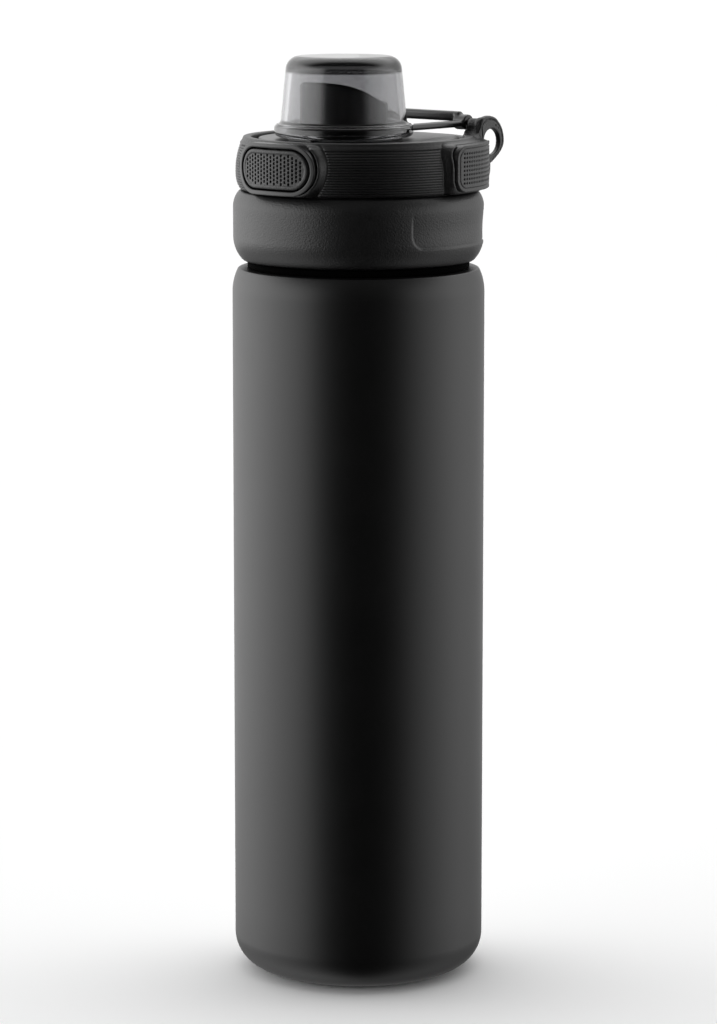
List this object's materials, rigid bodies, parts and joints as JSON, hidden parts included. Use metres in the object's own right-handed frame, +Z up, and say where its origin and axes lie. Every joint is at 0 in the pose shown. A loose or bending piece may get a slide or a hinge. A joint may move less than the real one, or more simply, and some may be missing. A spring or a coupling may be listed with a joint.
{
  "type": "insulated water bottle",
  "caption": "Double-walled steel bicycle bottle with a screw lid, ribbed grip ring, carry loops, push button and clear flip cap over a slanted spout.",
  "frame": {"origin": "middle of the flat base, on the bottle's axis, where it stands on a table", "axes": "+Z up along the bottle's axis, -Y towards the push button at the front, +Y towards the cap's hinge, +X to the right seen from the front"},
  "size_m": [0.0754, 0.0746, 0.2682],
  "materials": {
    "powder_coat": "fine satin powder coat",
    "bare_steel": "brushed",
    "black_rubber": "matte",
    "grey_silicone": "smooth matte",
    "lid_plastic": "satin",
    "soft_plastic": "fine-grained matte",
    "latch_plastic": "smooth",
    "foam": "open foam",
    "smoke_plastic": "clear gloss, smoke tint"
  },
  "bodies": {
    "flask": {"outer_shell": "powder_coat", "inner_flask": "bare_steel", "neck_thread": "bare_steel", "base_plate": "powder_coat", "vacuum_plug": "bare_steel", "getter": "bare_steel", "shoulder_ring": "black_rubber"},
    "lid_lift": {"mouth_gasket": "grey_silicone"},
    "lid": {"lid_core": "lid_plastic", "lid_thread": "lid_plastic", "plug_cover": "lid_plastic", "lid_insulator": "foam", "collar": "soft_plastic", "grip_ring": "soft_plastic", "top_plate": "lid_plastic", "right_loop": "soft_plastic", "left_loop": "soft_plastic", "button_bezel": "lid_plastic", "button_springs": "bare_steel", "spout": "lid_plastic", "spout_ring": "black_rubber", "air_valve": "grey_silicone", "hinge_pins": "bare_steel"},
    "button": {"push_button": "soft_plastic", "latch_slide": "latch_plastic"},
    "cap": {"cap_dome": "smoke_plastic", "cap_seal": "grey_silicone", "cap_catch": "lid_plastic", "cap_yoke": "lid_plastic", "hinge_springs": "bare_steel"}
  },
  "joints": [
    {"name": "lid_rise", "type": "slide", "parent": "flask", "child": "lid_lift", "axis": [0, 0, 1], "range_m": [0, 0.0071]},
    {"name": "lid_turn", "type": "hinge", "parent": "lid_lift", "child": "lid", "pos_m": [0, 0, 0.2262], "axis": [0, 0, 1], "range_deg": [0, 630]},
    {"name": "button_press", "type": "slide", "parent": "lid", "child": "button", "axis": [0, 1, 0], "range_m": [0, 0.0016], "stiffness_N_per_m": 600, "springref_m": -0.002, "deforming": ["button_springs"]},
    {"name": "cap_open", "type": "hinge", "parent": "lid", "child": "cap", "pos_m": [0, 0.0279, 0.2483], "axis": [-1, 0, 0], "range_deg": [0, 145]}
  ],
  "couplings": [
    {"joint": "lid_rise", "follows": "lid_turn", "m_per_rad": 0.00063662}
  ]
}
